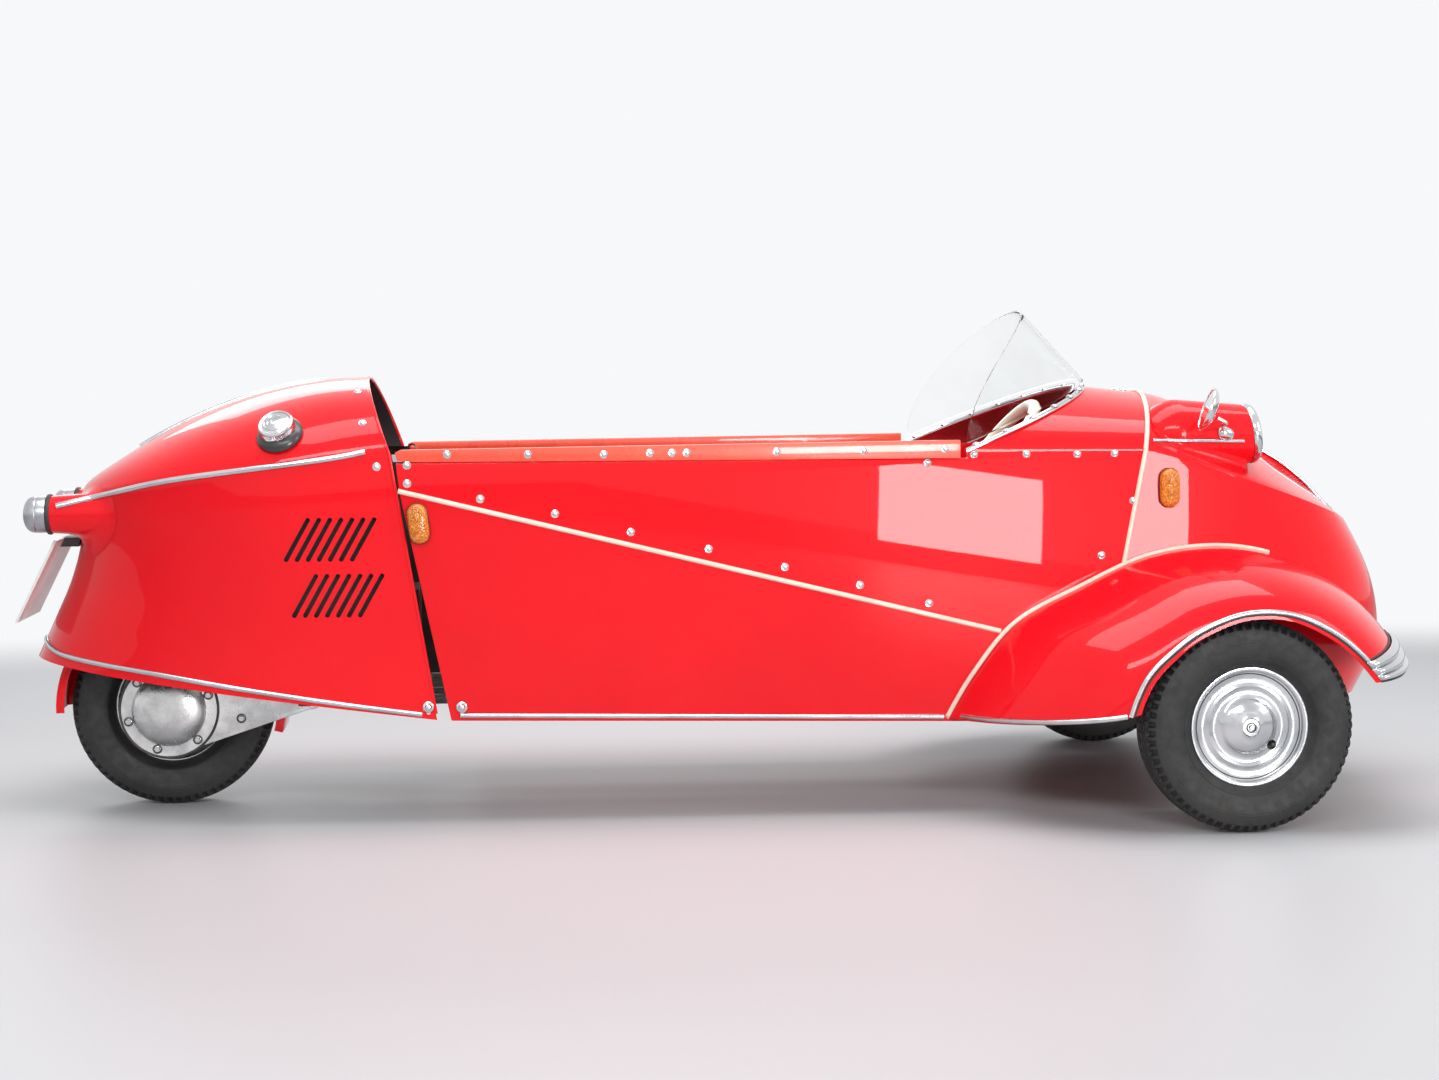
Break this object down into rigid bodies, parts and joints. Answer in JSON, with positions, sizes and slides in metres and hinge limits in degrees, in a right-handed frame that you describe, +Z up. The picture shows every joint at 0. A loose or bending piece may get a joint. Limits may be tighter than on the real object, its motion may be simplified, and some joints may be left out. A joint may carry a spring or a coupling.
{
  "type": "open three wheeled car",
  "caption": "Open three wheeled car with seats in line, wings over steered front wheels, a rear wheel under a hinged tail, and a wrap-round screen.",
  "frame": {"origin": "on the ground, at the middle of the length and width", "axes": "+X forward, +Y to the car's left, +Z up"},
  "size_m": [2.7671, 1.2282, 0.982],
  "materials": {
    "red_paint": "gloss",
    "rail_paint": "gloss",
    "chassis_black": "semi gloss",
    "chrome": "mirror",
    "aluminium": "polished",
    "cast_aluminium": "aged cast",
    "engine_metal": "cast",
    "tyre": "matt",
    "screen": "clear",
    "amber": "moulded lens",
    "lamp_metal": "satin",
    "seat_cover": "grained",
    "ivory_plastic": "gloss",
    "plate_white": "satin"
  },
  "bodies": {
    "root": {"floor_pan": "chassis_black", "chassis_frame": "chassis_black", "rear_bulkhead": "red_paint", "side_panel_right": "red_paint", "side_panel_left": "red_paint", "coaming_rail_right": "rail_paint", "coaming_rail_left": "rail_paint", "scuttle_cowl": "red_paint", "nose_shell": "red_paint", "fender_right": "red_paint", "fender_left": "red_paint", "bumperette_right": "chrome", "bumperette_left": "chrome", "headlamp_right": "chrome", "headlamp_left": "chrome", "windscreen": "screen", "windscreen_frame": "aluminium", "mirror_right": "chrome", "mirror_left": "chrome", "dashboard": "red_paint", "steering_column": "chassis_black", "front_seat_cushion": "seat_cover", "front_seat_back": "seat_cover", "rear_seat_cushion": "seat_cover", "rear_seat_back": "seat_cover", "seat_frame": "chassis_black", "side_lamps": "amber", "latches": "chrome", "engine_block": "engine_metal", "chain_case": "cast_aluminium", "rear_mudguard": "red_paint", "front_axle": "chassis_black"},
    "tail_cover": {"tail_shell": "red_paint", "tail_hinges": "aluminium", "filler_cap": "chrome", "tail_lamps": "lamp_metal", "number_plate": "plate_white"},
    "steering": {"steering_bar": "ivory_plastic"},
    "knuckle_right": {"knuckle_right": "chassis_black"},
    "knuckle_left": {"knuckle_left": "chassis_black"},
    "wheel_right": {"front_tyre_right": "tyre", "front_wheel_right": "aluminium"},
    "wheel_left": {"front_tyre_left": "tyre", "front_wheel_left": "aluminium"},
    "wheel_rear": {"rear_tyre": "tyre", "rear_wheel": "aluminium"}
  },
  "joints": [
    {"name": "tail_lift", "type": "hinge", "parent": "root", "child": "tail_cover", "pos_m": [-0.6275, 0, 0.7], "axis": [0, 1, 0], "range_deg": [0, 60]},
    {"name": "steer", "type": "hinge", "parent": "root", "child": "steering", "pos_m": [0.5995, 0, 0.676], "axis": [0.788, 0, -0.6157], "range_deg": [-30, 30]},
    {"name": "kingpin_right", "type": "hinge", "parent": "root", "child": "knuckle_right", "pos_m": [0.9315, -0.465, 0.198], "axis": [0, 0, 1], "range_deg": [-24, 24]},
    {"name": "kingpin_left", "type": "hinge", "parent": "root", "child": "knuckle_left", "pos_m": [0.9315, 0.465, 0.198], "axis": [0, 0, 1], "range_deg": [-24, 24]},
    {"name": "spin_right", "type": "hinge", "parent": "knuckle_right", "child": "wheel_right", "pos_m": [0.9315, -0.54, 0.198], "axis": [0, 1, 0], "continuous": true},
    {"name": "spin_left", "type": "hinge", "parent": "knuckle_left", "child": "wheel_left", "pos_m": [0.9315, 0.54, 0.198], "axis": [0, 1, 0], "continuous": true},
    {"name": "spin_rear", "type": "hinge", "parent": "root", "child": "wheel_rear", "pos_m": [-1.0955, 0, 0.198], "axis": [0, 1, 0], "continuous": true}
  ],
  "couplings": [
    {"joint": "kingpin_right", "follows": "steer", "ratio": -0.8},
    {"joint": "kingpin_left", "follows": "steer", "ratio": -0.8}
  ]
}
